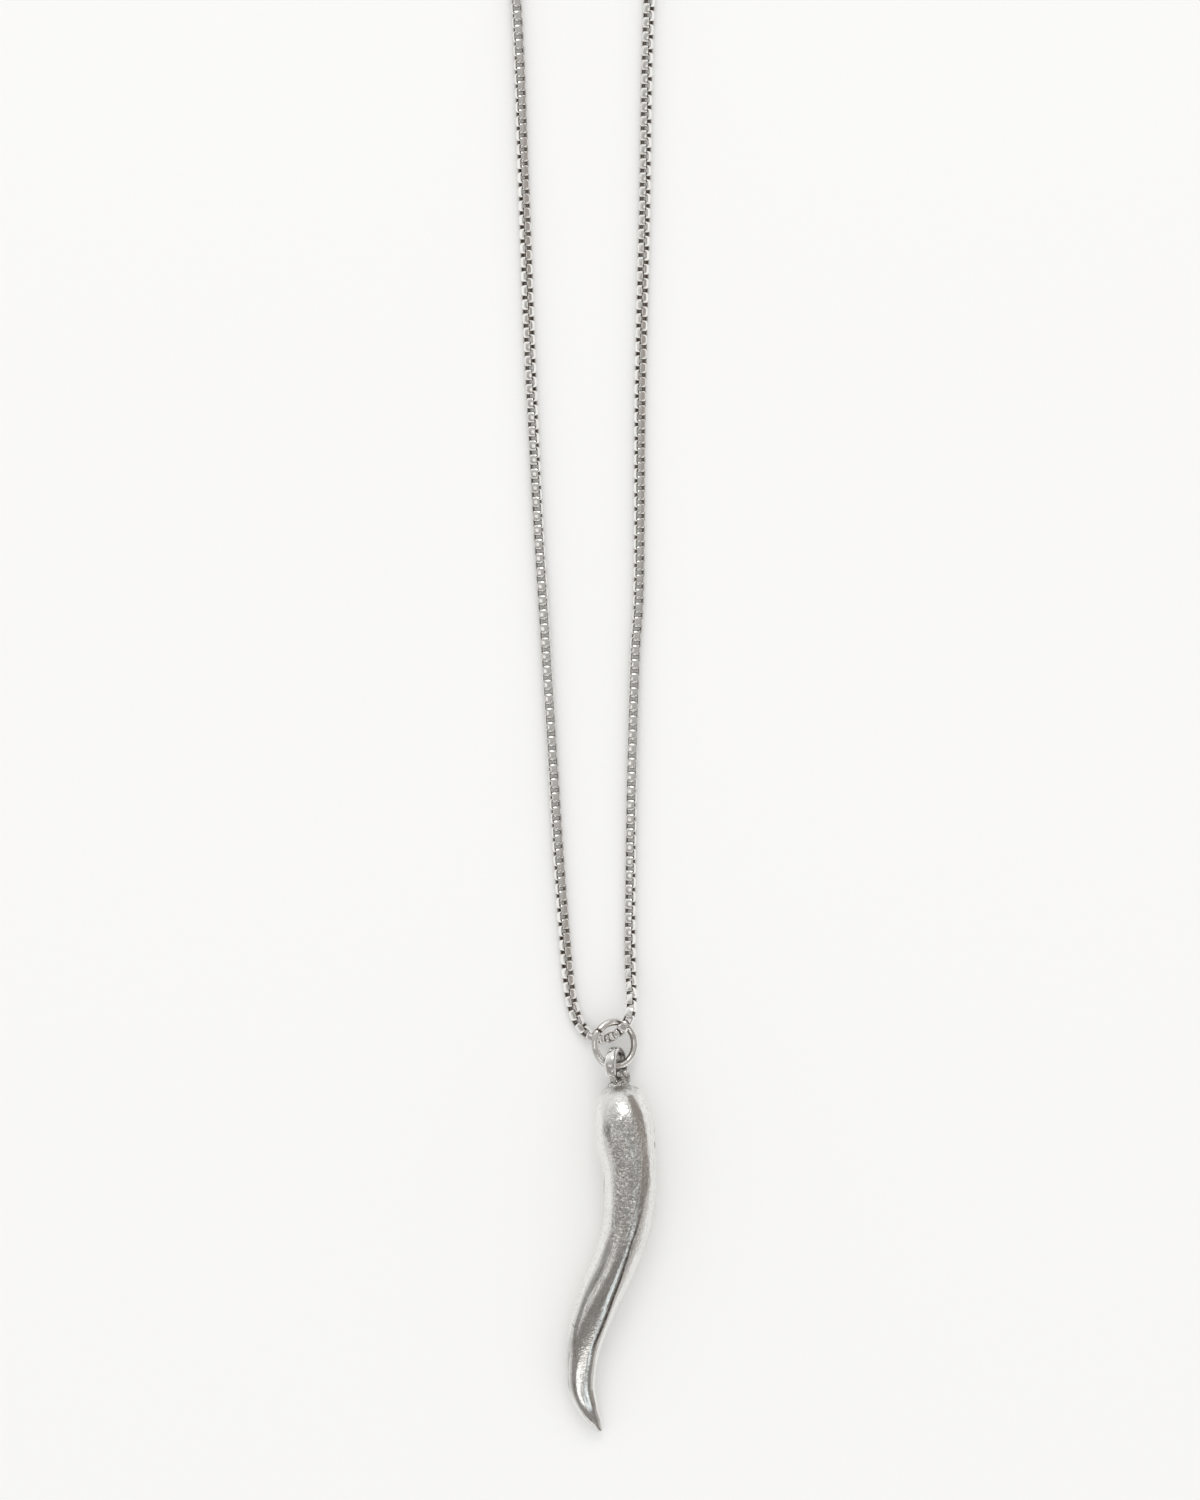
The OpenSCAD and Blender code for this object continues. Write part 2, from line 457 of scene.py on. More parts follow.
class HornNodes:
    """The nodes of the horn's finish."""

    def __init__(self, bench: Bench, finish: CastSilver) -> None:
        """Works out the painted dark band, where the horn is smooth or frosty, and lays its grains.

        Args:
            bench: Where the nodes go.
            finish: The finish's values.
        """
        self.bench, self.finish = bench, finish
        self.lie = bench.kept("lie", "Vector")
        self.polish = bench.kept("polish")
        self.run = bench.node("SeparateXYZ", {}, {0: self.lie}, "Y")
        from_left = bench.node("SeparateXYZ", {}, {0: bench.kept("band", "Vector")})
        self.from_right = from_left.out("Y")
        self.dark_band = bench.mask(from_left, -0.15, 0.35) * bench.mask(self.from_right, -0.08, 0.14)
        self.smooth = bench.fade(self.from_right, *finish.smooth_strip_mm) * (1 - self.polish)
        frosty = bench.mask(from_left, -0.1, 0.5) * (1 - self.smooth * 0.85) * 0.85 + 0.15
        self.frosty = frosty * (bench.mask(self.run, *finish.frost_run_mm) * 0.8 + 0.2)
        curl = bench.node(
            "TexNoise", {}, {"Vector": self.lie, "Scale": 1.9, "Detail": 0.0, "Distortion": 1.2}
        )
        self.crease = abs(curl - 0.5)
        self.frost = bench.grain(self.lie, 3.0, 0.7, 0.4)
        self.fine = bench.grain(self.lie, 3.4, 1.0, 0.6)
        self.streaky = bench.grain(bench.stretched(self.lie, 3.2, 0.22), 1.0, 2.0, 0.6)
        self.cloudy = bench.grain(self.lie, 0.45, 3.0, 0.55)

    def sockets(self) -> Sockets:
        """What goes into the metal's sockets.

        Returns:
            The colour, the roughness and the normal.
        """
        bench, finish, oxide_and_shade = self.bench, self.finish, self.bench.kept("oxide_and_shade")
        dent, dark, shine = self._nicks()
        # A thin dark line painted just inside the band's right edge, over part of the horn: a painted dark
        # reflection.
        painted_line = bench.fade(abs(self.from_right - finish.painted_line_inside_mm), 0.05, 0.17)
        painted_line = painted_line * bench.between(self.run, *finish.painted_line_run_mm)
        painted_line = painted_line * (bench.mask(self.frost, 0.36, 0.52) * 0.5 + 0.5)
        smoother = finish.buffed_roughness - finish.frosted_roughness
        rough = finish.frosted_roughness + smoother * self.polish
        silver = self._rubbed(self._band_and_dust(), shine)
        # Darkest of oxide and painted shade, the dark nicks and the painted line, in the dark colour.
        return {
            "Base Color": bench.blend(oxide_and_shade.most(dark, painted_line * 0.85), silver, finish.oxide_and_shade),
            "Roughness": rough + (self.cloudy - 0.5) * 0.10 + oxide_and_shade * 0.2,
            "Normal": bench.bump(self._relief() - dent),
        }

    def _relief(self) -> Wire:
        """Height of the grain, curly and frosted as cast and finely lined where it is buffed.

        Returns:
            The height in millimetres.
        """
        bench, finish = self.bench, self.finish
        speck = bench.grain(self.lie, 7.0, 0.0)
        curls = bench.fade(self.crease, 0.0, 0.09) * finish.curl_depth_mm
        frosted = ((self.frost * 0.75 + speck * 0.25) * finish.frost_depth_mm + curls) * self.frosty
        lines = bench.grain(bench.stretched(self.lie, 3.6, 0.16), 1.0, 1.0) * finish.line_depth_mm
        buffed = (self.frost * 0.5 + speck * 0.5) * finish.buffed_depth_mm + lines
        return frosted * (1 - self.polish) + buffed * self.polish

    def _band_and_dust(self) -> Wire:
        """The silver with its painted dark band, which stands in for the dim ceiling's reflection, and with
        dust and painted speckle elsewhere.

        Returns:
            The colour.
        """
        bench, finish = self.bench, self.finish
        band_tone = bench.blend(bench.mask(bench.grain(self.lie, 0.8), 0.4, 0.6), finish.dim_tone, finish.grey)
        # Brown on the band by its right edge: a painted reflection of the room's wood.
        band_tone = bench.blend(self.smooth * 0.8, band_tone, finish.brown)
        # How much of the band's painted tone shows along the horn.
        along = bench.mask(self.run, *finish.band_start_run_mm) * 0.10 + 0.58
        along = along + bench.mask(self.run, *finish.band_dark_run_mm) * 0.32
        along = along - bench.mask(self.run, *finish.band_tip_run_mm) * 0.34
        patchy = bench.mask(self.cloudy, 0.38, 0.66) * 0.18 + 0.82
        # Outside the band: dust, and darker speckle painted as the grain's shade.
        speckle_and_dust = bench.mask(self.fine, 0.50, 0.72) * finish.speckle
        speckle_and_dust = speckle_and_dust + bench.mask(self.streaky, 0.45, 0.68) * 0.14 + 0.10
        return bench.blend(self.dark_band * patchy * along + (1 - self.dark_band) * speckle_and_dust, finish.bright, band_tone)

    def _rubbed(self, silver: Wire, shine: Wire) -> Wire:
        """Paints speckle for the grain's shade and glints, darkens the scores and brightens what is rubbed.

        Args:
            silver: The colour under its tarnish.
            shine: How bright the nicks are.

        Returns:
            The colour with its marks.
        """
        bench, finish, polish = self.bench, self.finish, self.polish
        filed = self.dark_band * polish
        # Dark and bright speckle painted in: painted shade and glints of the frosted grain.
        grain_shade = bench.fade(self.fine, 0.40, 0.50) * self.frosty * (1 - polish * 0.75)
        silver = bench.blend(grain_shade * finish.speckle, silver, finish.oxide_and_shade)
        grain_glints = bench.mask(self.fine, 0.58, 0.66) * self.frosty * (1 - polish * 0.6)
        silver = bench.blend(grain_glints * finish.wear, silver, finish.bright)
        worn = bench.fade(self.crease, 0.0, 0.04) * self.frosty * (1 - polish)
        worn = worn * bench.mask(self.frost, 0.42, 0.56)
        scuffs = bench.mask(self.streaky, 0.56, 0.70) * filed * 0.22
        rubbed = worn.most(shine, scuffs, finish.rubbed_share) * finish.wear
        silver = bench.blend(rubbed, silver, finish.bright)
        return bench.blend(bench.fade(self.streaky, 0.32, 0.44) * filed * 0.42, silver, finish.oxide_and_shade)

    def _nicks(self) -> tuple[Wire, Wire, Wire]:
        """The nicks, as wires that are 0 away from them.

        Returns:
            Their depth in millimetres, how dark they are, and how bright.
        """
        bench = self.bench
        right = bench.node("SeparateXYZ", {}, {0: self.lie})
        above = bench.mask(right.out("Z"), 0.05, 0.3)
        depth: Value = 0.0
        darkness: Value = 0.0
        brightness: Value = 0.0
        for nick in self.finish.nicks:
            across, on = right - nick.across_mm, self.run - nick.run_mm
            c, n = cos_of(nick.turn_deg), sin_of(nick.turn_deg)
            lengthwise = (across * c + on * n) * (1 / nick.half_long_mm)
            crosswise = (on * c - across * n) * (1 / nick.half_wide_mm)
            dent = bench.fade(lengthwise ** 2.0 + crosswise ** 2.0, 0.1, 1.0) * above
            depth = dent * nick.depth_mm + depth
            if nick.dark:
                darkness = dent * nick.dark + darkness
            if nick.shine:
                brightness = dent * nick.shine + brightness
        return depth, darkness, brightness


@dataclass(frozen=True)
class DrawnSilver(Metal):
    """Drawn and polished silver wire: fine lines along it, a little oxide in its hollows, and painted
    shade where a piece marks it.
    """

    name: str = "silver"
    bright: Triple = (0.95, 0.945, 0.93)
    dim_tone: Triple = (0.62, 0.57, 0.52)
    # Dark colour of oxide and of painted shade.
    oxide_and_shade: Triple = (0.16, 0.12, 0.09)
    roughness: float = 0.12
    line_depth_mm: float = 0.003
    ripple_depth_mm: float = 0.012
    ripple_pitch_mm: float = 0.9
    stain_share: float = 0.18

    def dress(self, bench: Bench) -> Sockets:
        """Lays the finish's nodes.

        Args:
            bench: Where they go.

        Returns:
            What goes into the metal's sockets.
        """
        lie = bench.kept("lie", "Vector")
        oxide_and_shade = bench.kept("oxide_and_shade")
        lines = bench.grain(bench.stretched(lie, 7.0, 0.6), 1.0)
        ripple = bench.grain(lie, 1 / self.ripple_pitch_mm, 1.0)
        cloudy = bench.grain(lie, 0.8, 3.0)
        stain = bench.mask(cloudy, 0.45, 0.7) * self.stain_share
        # Darkened by the piece's oxide and painted shade.
        return {
            "Base Color": bench.blend(oxide_and_shade, bench.blend(stain, self.bright, self.dim_tone), self.oxide_and_shade),
            "Roughness": self.roughness + cloudy * 0.08 + oxide_and_shade * 0.25,
            "Normal": bench.bump(lines * self.line_depth_mm + ripple * self.ripple_depth_mm),
        }


@dataclass(frozen=True)
class PaleSheet:
    """The plain pale sheet that the part lies on, lit a little from below."""

    shade: Triple = (0.860, 0.859, 0.849)
    glow: Triple = (0.125, 0.1243, 0.121)

    def material(self) -> bpy.types.Material:
        """Makes the material.

        Returns:
            The finished material.
        """
        made = bpy.data.materials.new("pale_sheet")
        bench = Bench(made)
        place = bench.node("TexCoord", {}, {}, "Object")
        fibre = bench.grain(place, 900.0, 2.0)
        tone = bench.blend(fibre * 0.02, self.shade, tuple(0.9 * c for c in self.shade))
        matte = bench.node("BsdfDiffuse", {}, {"Color": tone, "Roughness": 0.0})
        backlight = bench.node("Emission", {}, {"Color": colour(self.glow), "Strength": 1.0})
        both = bench.node("AddShader", {}, {0: matte, 1: backlight})
        bench.node("OutputMaterial", {}, {"Surface": both})
        return made


@dataclass
class Skin:
    """Points, faces and kept values of a piece, gathered shell by shell."""

    faces: list[tuple[int, ...]] = field(default_factory=list)
    kept: dict[str, list[np.ndarray]] = field(default_factory=lambda: defaultdict(list))
    count: int = 0

    def shell(
        self,
        place: np.ndarray,
        lie: np.ndarray,
        polish: Union[float, np.ndarray] = 0.0,
        oxide_and_shade: Union[float, np.ndarray] = 0.0,
        band: Sequence[float] = (-9.0, -9.0, 0.0),
        endless: bool = False,
    ) -> None:
        """Adds a closed shell over rings of points.

        Args:
            place: Places, by ring and by point round it.
            lie: The place of each on the piece laid out straight, in millimetres.
            polish: How buffed each is.
            oxide_and_shade: How dark each is.
            band: How far inside the painted dark band's left and right edges each is, in millimetres.
            endless: Whether the last ring joins the first; otherwise each end gets a flat face.
        """
        along, round_, _ = place.shape
        first = self.count
        spans = along if endless else along - 1
        for i in range(spans):
            a, b = first + i * round_, first + (i + 1) % along * round_
            for k in range(round_):
                n = (k + 1) % round_
                self.faces.append((a + k, a + n, b + n, b + k))
        if not endless:
            self.faces.append(tuple(first + k for k in range(round_ - 1, -1, -1)))
            self.faces.append(tuple(first + (along - 1) * round_ + k for k in range(round_)))
        values = {"place": place, "lie": lie, "polish": polish, "oxide_and_shade": oxide_and_shade, "band": band}
        for name, value in values.items():
            size = () if name in ("polish", "oxide_and_shade") else (3,)
            value = np.broadcast_to(value, (along, round_, *size))
            self.kept[name].append(value.reshape(-1, *size))
        self.count += along * round_

    def mesh_object(self, name: str, sharp_deg: float) -> bpy.types.Object:
        """Makes the object, in the part's frame.

        Args:
            name: Its name.
            sharp_deg: Edges that turn more than this stay crisp.

        Returns:
            The object, with the kept values on its points.
        """
        mesh = bpy.data.meshes.new(name)
        kept = {key: np.concatenate(parts) for key, parts in self.kept.items()}
        mesh.from_pydata((kept.pop("place") + LAY).tolist(), [], self.faces)
        for key, values in kept.items():
            kind, slot = ("FLOAT_VECTOR", "vector") if values.ndim == 2 else ("FLOAT", "value")
            attribute = mesh.attributes.new(key, kind, "POINT")
            attribute.data.foreach_set(slot, values.astype(np.float32).ravel())
        work = bmesh.new()
        work.from_mesh(mesh)
        bmesh.ops.recalc_face_normals(work, faces=work.faces)
        work.to_mesh(mesh)
        work.free()
        mesh.shade_smooth()
        mesh.set_sharp_from_angle(angle=radians(sharp_deg))
        return placed(name, mesh)


def placed(name: str, data: bpy.types.ID) -> bpy.types.Object:
    """Puts a new object in the scene.

    Args:
        name: Its name.
        data: Its mesh, light or camera.

    Returns:
        The object.
    """
    made = bpy.data.objects.new(name, data)
    bpy.context.scene.collection.objects.link(made)
    return made


@dataclass
class Hoop:
    """A ring of wire or strap, whole or cut, which lies flat round Z before it is turned.

    The stock's half sizes are along the radius and along the axis, and its squareness is the power
    of its outline, 2 for an oval. Swell and soot take the angle round the ring and round the stock,
    in degrees. Swell gives what is added to the radius and the factor on the stock's size.
    """

    middle: np.ndarray
    turn: np.ndarray
    radius: float
    half_thick: float
    half_wide: float
    span_deg: tuple[float, float] = (0.0, 360.0)
    steps: int = 96
    sides: int = 20
    squareness: float = 2.0
    swell: Callable[[float, float], tuple[float, float]] = lambda angle, side: (0.0, 1.0)
    oxide_and_shade: Callable[[float, float], float] = lambda angle, side: 0.0

    def add_to(self, skin: Skin) -> None:
        """Adds the ring's shell.

        Args:
            skin: Where it goes.
        """
        start, end = self.span_deg
        whole = end - start >= 360
        count = self.steps if whole else self.steps + 1
        rings, lie = np.zeros((2, count, self.sides, 3))
        dark = np.zeros((count, self.sides))
        for i in range(count):
            angle = start + (end - start) * i / self.steps
            out = np.array((cos_of(angle), sin_of(angle), 0.0))
            for k in range(self.sides):
                side = 360 * k / self.sides
                c, s = cos_of(side), sin_of(side)
                grow = (abs(c) ** self.squareness + abs(s) ** self.squareness) ** (-1 / self.squareness)
                shift, factor = self.swell(angle, side)
                across = self.half_thick * grow * factor * c
                high = self.half_wide * grow * factor * s
                place = out * (self.radius + shift + across) + UP * high
                rings[i, k] = self.middle + self.turn @ place
                lie[i, k] = np.array((across, self.radius * radians(angle), high)) / MM
                dark[i, k] = self.oxide_and_shade(angle, side)
        skin.shell(rings, lie, 1.0, dark, endless=whole)


class Piece:
    """A piece of the part, which stands for one of its solids."""

    finish: Metal
    skin: Skin

    def build(self) -> None:
        """Adds the piece's shells to its skin."""
        raise NotImplementedError

    def make(self, name: str, node: str, slot: Slot, sharp_deg: float) -> None:
        """Builds and dresses the piece, gives it its body and hides the solid that it stands for.

        Args:
            name: Its name.
            node: The solid's node.
            slot: The record's slot of its finish; not used.
            sharp_deg: Edges that turn more than this stay crisp.
        """
        self.skin = Skin()
        self.build()
        made = self.skin.mesh_object(name, sharp_deg)
        made.data.materials.append(self.finish.material())
        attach(made, "root")
        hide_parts(node)
        log.info("%s: %d faces, stands for %s", name, len(made.data.polygons), node)

    def round_wire(
        self, middle: np.ndarray, turn: np.ndarray, outer: float, wire: float, **more: Any
    ) -> None:
        """Adds a ring of round wire, by its outer size and the wire's."""
        Hoop(middle, turn, (outer - wire) / 2, wire / 2, wire / 2, **more).add_to(self.skin)


def turned(axis: str, angle: float) -> np.ndarray:
    """Rotation about an axis of the frame, by degrees."""
    return np.array(Matrix.Rotation(radians(angle), 3, axis))


@dataclass
class CastHorn(Piece):
    """The horn, with the bail loop cast on its crown and the solder that joins them."""

    length: float = 0.0384
    width: float = 0.0068
    roundness: float = 0.98
    swing: float = 0.00283
    mean_x: float = -0.00108
    crown_y: float = -0.0046
    allowance: float = 0.00001
    sections_per_row: int = 20
    sides: int = 96
    buffed_shares: tuple[float, float] = (0.30, 0.62)
    flattened_shares: tuple[float, float] = (0.50, 0.72)
    point_shares: tuple[float, float] = (0.93, 1.0)
    burnt_run: float = 0.0012
    lump: float = 0.000026
    ripple: float = 0.000008
    bail_middle: Triple = (0.0001, -0.00235, 0.00212)
    bail_radius: float = 0.00175
    bail_half_thick: float = 0.0004
    bail_half_wide: float = 0.00065
    bail_roll_deg: float = 68.0
    solder_middle: Triple = (0.00045, -0.00475, 0.0022)
    solder_half: Triple = (0.00126, 0.00082, 0.00136)
    fillet_middle: Triple = (0.00098, -0.00372, 0.00135)
    fillet_half: Triple = (0.00072, 0.00085, 0.0007)
    solder_lump: float = 0.00019
    tip_facet: Triple = (-0.30, -0.80, 0.52)
    tip_left: float = 0.00016
    tip_reach: float = 0.0011
    flattening: float = 0.8
    flat_roll_deg: float = 7.0
    finish: CastSilver = CastSilver()

    def build(self) -> None:
        """Adds the horn, its bail and its solder."""
        self._body()
        self._bail()
        self._solder(self.solder_middle, self.solder_half, 7.0)
        self._solder(self.fillet_middle, self.fillet_half, 11.0)

    def _body(self) -> None:
        """Adds the curved horn."""
        rows = smooth_table(HORN_ROWS, self.sections_per_row)
        count = len(rows)
        x, y = self.mean_x + self.swing * rows[:, 1], self.crown_y - self.length * rows[:, 0]
        line = np.stack((x, y, 0 * x), 1)
        ahead = unit(np.gradient(line, axis=0))
        across = np.stack((-ahead[:, 1], ahead[:, 0], 0 * ahead[:, 0]), 1)
        run = distances(line)
        rings, lie, band = np.zeros((3, count, self.sides, 3))
        polish, oxide_and_shade = np.zeros((2, count, self.sides))
        for i in range(count):
            half = self.width * rows[i, 3] / 2
            middle = line[i] + UP * (max(0.0, rows[i, 2]) * MM + half * self.roundness)
            buffed = ease(run[i], *(share * self.length for share in self.buffed_shares))
            burnt = 1 - ease(run[i], 0.0, self.burnt_run)
            pointed = ease(rows[i, 0], *self.point_shares)
            flattened = ease(rows[i, 0], *self.flattened_shares) * (1 - 0.7 * pointed)
            left, right = (np.interp(rows[i, 0], *np.array(DARK_BAND_ROWS)[:, (0, k)].T) for k in (1, 2))
            power = 2 + self.flattening * flattened
            roll = radians(self.flat_roll_deg) * flattened
            for k in range(self.sides):
                angle = 2 * pi * k / self.sides
                c, s = cos(angle), sin(angle)
                flat = np.array((c * half, run[i], s * half)) / MM
                hollow = self._hollow(flat, buffed)
                turned_c, turned_s = abs(cos(angle + roll)), abs(sin(angle + roll))
                grow = (turned_c ** power + turned_s ** power) ** (-1 / power)
                reach = (half - self.allowance - hollow) * grow
                rings[i, k] = middle + across[i] * reach * c + UP * reach * self.roundness * s
                lie[i, k] = flat
                band[i, k] = (flat[0] - left, right - flat[0], 0.0)
                polish[i, k] = ease(buffed + 0.35 * grainy(flat, 2.2, 3.0), 0.1, 0.9)
                oxide_and_shade[i, k] = 0.5 * burnt * ease(grainy(flat, 0.4, 5.0) + 0.2 * burnt, -0.1, 0.5)
        self._flatten_tip(rings)
        self.skin.shell(rings, lie, polish, oxide_and_shade, band)

    def _hollow(self, flat: np.ndarray, buffed: float) -> float:
        """How far the hand-worked surface lies under the true horn.

        Args:
            flat: Place on the horn laid out straight, in millimetres.
            buffed: How buffed it is there.

        Returns:
            Depth in metres, never below 0.
        """
        stretched = flat * np.array((1.0, 0.3, 1.0))
        cast = (1 - grainy(flat, 2.4, 1.0)) / 2
        lumps = cast * (1 - buffed) + (1 - grainy(stretched, 1.6, 2.0)) / 2 * buffed
        return self.lump * lumps + self.ripple * (1 - grainy(flat, 0.7, 4.0)) / 2

    def _flatten_tip(self, rings: np.ndarray) -> None:
        """Files a small slanting flat on the tip.

        Args:
            rings: The horn's rings, whose last ones change.
        """
        slant = unit(np.array(self.tip_facet))
        end = rings[-1].mean(axis=0)
        beyond = (rings - end) @ slant - self.tip_left
        near = np.linalg.norm(rings - end, axis=-1) < self.tip_reach
        rings -= (np.maximum(beyond, 0) * near)[..., None] * slant

    def _bail(self) -> None:
        """Adds the bail loop, a worn oval strap with file ridges by the solder."""

        def swell(angle: float, side: float) -> tuple[float, float]:
            """Ridges on the low leg, and a slightly uneven strap all round."""
            low_leg = ease(cos_of(angle + 42), 0.72, 0.95)
            ridges = 0.00006 * low_leg * sin_of(angle * 17)
            wobble = 0.035 * sin_of(2 * angle + 40) + 0.03 * sin_of(5 * angle)
            foot = ease(cos_of(angle - 246), 0.80, 0.98)
            return ridges, 0.96 + wobble * 0.5 - 0.34 * foot

        def oxide_and_shade(angle: float, side: float) -> float:
            """Painted shade inside the loop, on its low leg and on the strap's edges, and oxide on the low
            leg and by the solder.
            """
            inside = ease(-cos_of(side), 0.2, 0.9)
            low = ease(cos_of(angle + 35), 0.3, 0.9)
            foot = ease(-sin_of(angle), 0.86, 0.99)
            edge = ease(abs(sin_of(side)), 0.86, 0.97)
            return min(1.0, 0.55 * inside + 0.6 * low + 0.3 * foot + 0.25 * edge)

        middle, turn = np.array(self.bail_middle), turned("Y", self.bail_roll_deg)
        stock = (self.bail_radius, self.bail_half_thick, self.bail_half_wide)
        bail = Hoop(middle, turn, *stock, steps=180, sides=28, squareness=2.5, swell=swell, oxide_and_shade=oxide_and_shade)
        bail.add_to(self.skin)

    def _solder(self, middle: Sequence[float], half: Sequence[float], seed: float) -> None:
        """Adds a lump of the solder between the crown and the loop.

        Args:
            middle: Its middle.
            half: Half its size each way.
            seed: Picks its lumps.
        """
        along, round_ = 48, 72
        rings = np.zeros((along, round_, 3))
        oxide_and_shade = np.zeros((along, round_))
        for i in range(along):
            lat = pi * (i + 0.5) / along
            for k in range(round_):
                angle = 2 * pi * k / round_
                way = np.array((sin(lat) * cos(angle), -cos(lat), sin(lat) * sin(angle)))
                rough = abs(grainy(way, 0.34, seed)) - 0.25 + 0.5 * grainy(way, 0.13, seed + 1.0)
                rings[i, k] = np.array(middle) + way * (np.array(half) + self.solder_lump * rough)
                oxide_and_shade[i, k] = 0.05 + 0.75 * ease(-rough, -0.15, 0.25)
        self.skin.shell(rings, rings / MM, 0.0, oxide_and_shade)


@dataclass
class JumpRing(Piece):
    """The round wire ring that the chain runs through and the bail hangs on, with its cut."""

    outer: float = 0.0057
    wire: float = 0.0008
    height: float = 0.00208
    tilt_deg: float = 27.0
    lean_deg: float = 94.0
    cut_deg: float = 50.0
    cut_gap: float = 0.00009
    cut_step: float = 0.00009
    finish: DrawnSilver = DrawnSilver(
        "silver_wire", roughness=0.08, ripple_depth_mm=0.045, ripple_pitch_mm=0.5
    )

    def build(self) -> None:
        """Adds the bent wire."""
        half_gap_deg = degrees(self.cut_gap / (self.outer - self.wire))

        def swell(angle: float, side: float) -> tuple[float, float]:
            """One end of the wire stands a little outward of the other, and both are nipped."""
            past = (angle - self.cut_deg) % 360
            step = self.cut_step * (1 - ease(past, 2, 40))
            nip = 0.06 * (1 - ease(min(past, 360 - past), 0, 9))
            flat = 0.02 * sin_of(3 * angle) + 0.015 * sin_of(11 * angle + 30)
            return step, 0.965 - nip + flat

        def oxide_and_shade(angle: float, side: float) -> float:
            """Painted shade low on both sides of the wire, more on the inner one, and in the cut."""
            past = (angle - self.cut_deg) % 360
            inner = 0.80 * ease(-cos_of(side), 0.60, 0.90)
            outer = 0.60 * ease(cos_of(side), 0.80, 0.97)
            return min(1.0, inner + outer + 1.2 * (1 - ease(min(past, 360 - past), 1.5, 5.0)))

        turn = turned("Z", self.lean_deg) @ turned("X", self.tilt_deg)
        cut = {"span_deg": (self.cut_deg + half_gap_deg, self.cut_deg + 360 - half_gap_deg)}
        fine = {"steps": 220, "sides": 32, "swell": swell, "oxide_and_shade": oxide_and_shade}
        self.round_wire(UP * self.height, turn, self.outer, self.wire, **cut, **fine)


@dataclass
class BoxLink:
    """One link of the box chain: a flat strip bent into a box with rounded corners.

    In its own frame the chain runs along Y and the hole looks along Z.
    """

    outer: float = 0.0012
    stretch: float = 0.0001
    wall: float = 0.0002
    strip: float = 0.00075
    corner: float = 0.00036
    corner_steps: int = 4
    crowning: float = 0.00001
    outer_rounding: float = 0.00006
    inner_rounding: float = 0.00004

    def outline(self) -> list[tuple[np.ndarray, np.ndarray]]:
        """The middle of the strip round the box.

        Returns:
            Each point with its outward direction, in the XY plane.
        """
        radius = self.corner - self.wall / 2
        reach = self.outer / 2 - self.corner + np.array((0.0, self.stretch / 2))
        found = []
        for quarter in range(4):
            heart = np.array(((1, 1), (-1, 1), (-1, -1), (1, -1))[quarter]) * reach
            for step in range(self.corner_steps + 1):
                angle = pi / 2 * (quarter + step / self.corner_steps)
                out = np.array((cos(angle), sin(angle)))
                found.append((heart + out * radius, out))
        return found

    def section(self) -> list[Triple]:
        """The strip's own outline.

        Returns:
            Each point's place out from the strip's middle and across it, and its darkness: oxide
            and painted shade inside the box.
        """
        t, b = self.wall / 2, self.strip / 2
        # The strip's inner face is darker: oxide and painted shade inside the box.
        half = [
            (t, 0.0, 0.0), (t - self.crowning, 0.62 * b, 0.0), (t - self.outer_rounding, b, 0.0),
            (-t + self.inner_rounding, b, 0.35), (-t, b - self.inner_rounding, 0.9),
        ]
        return half + [(out, -across, dark) for out, across, dark in half[:0:-1]]

    def pattern(self) -> tuple[np.ndarray, np.ndarray]:
        """The link's points and their darkness.

        Returns:
            Places by point round the square and round the strip, and the darkness of each.
        """
        section = np.array(self.section())
        points = []
        for place, out in self.outline():
            flat = place + np.outer(section[:, 0], out)
            points.append(np.column_stack((flat, section[:, 1])))
        return np.array(points), np.broadcast_to(section[:, 2], (len(points), len(section)))


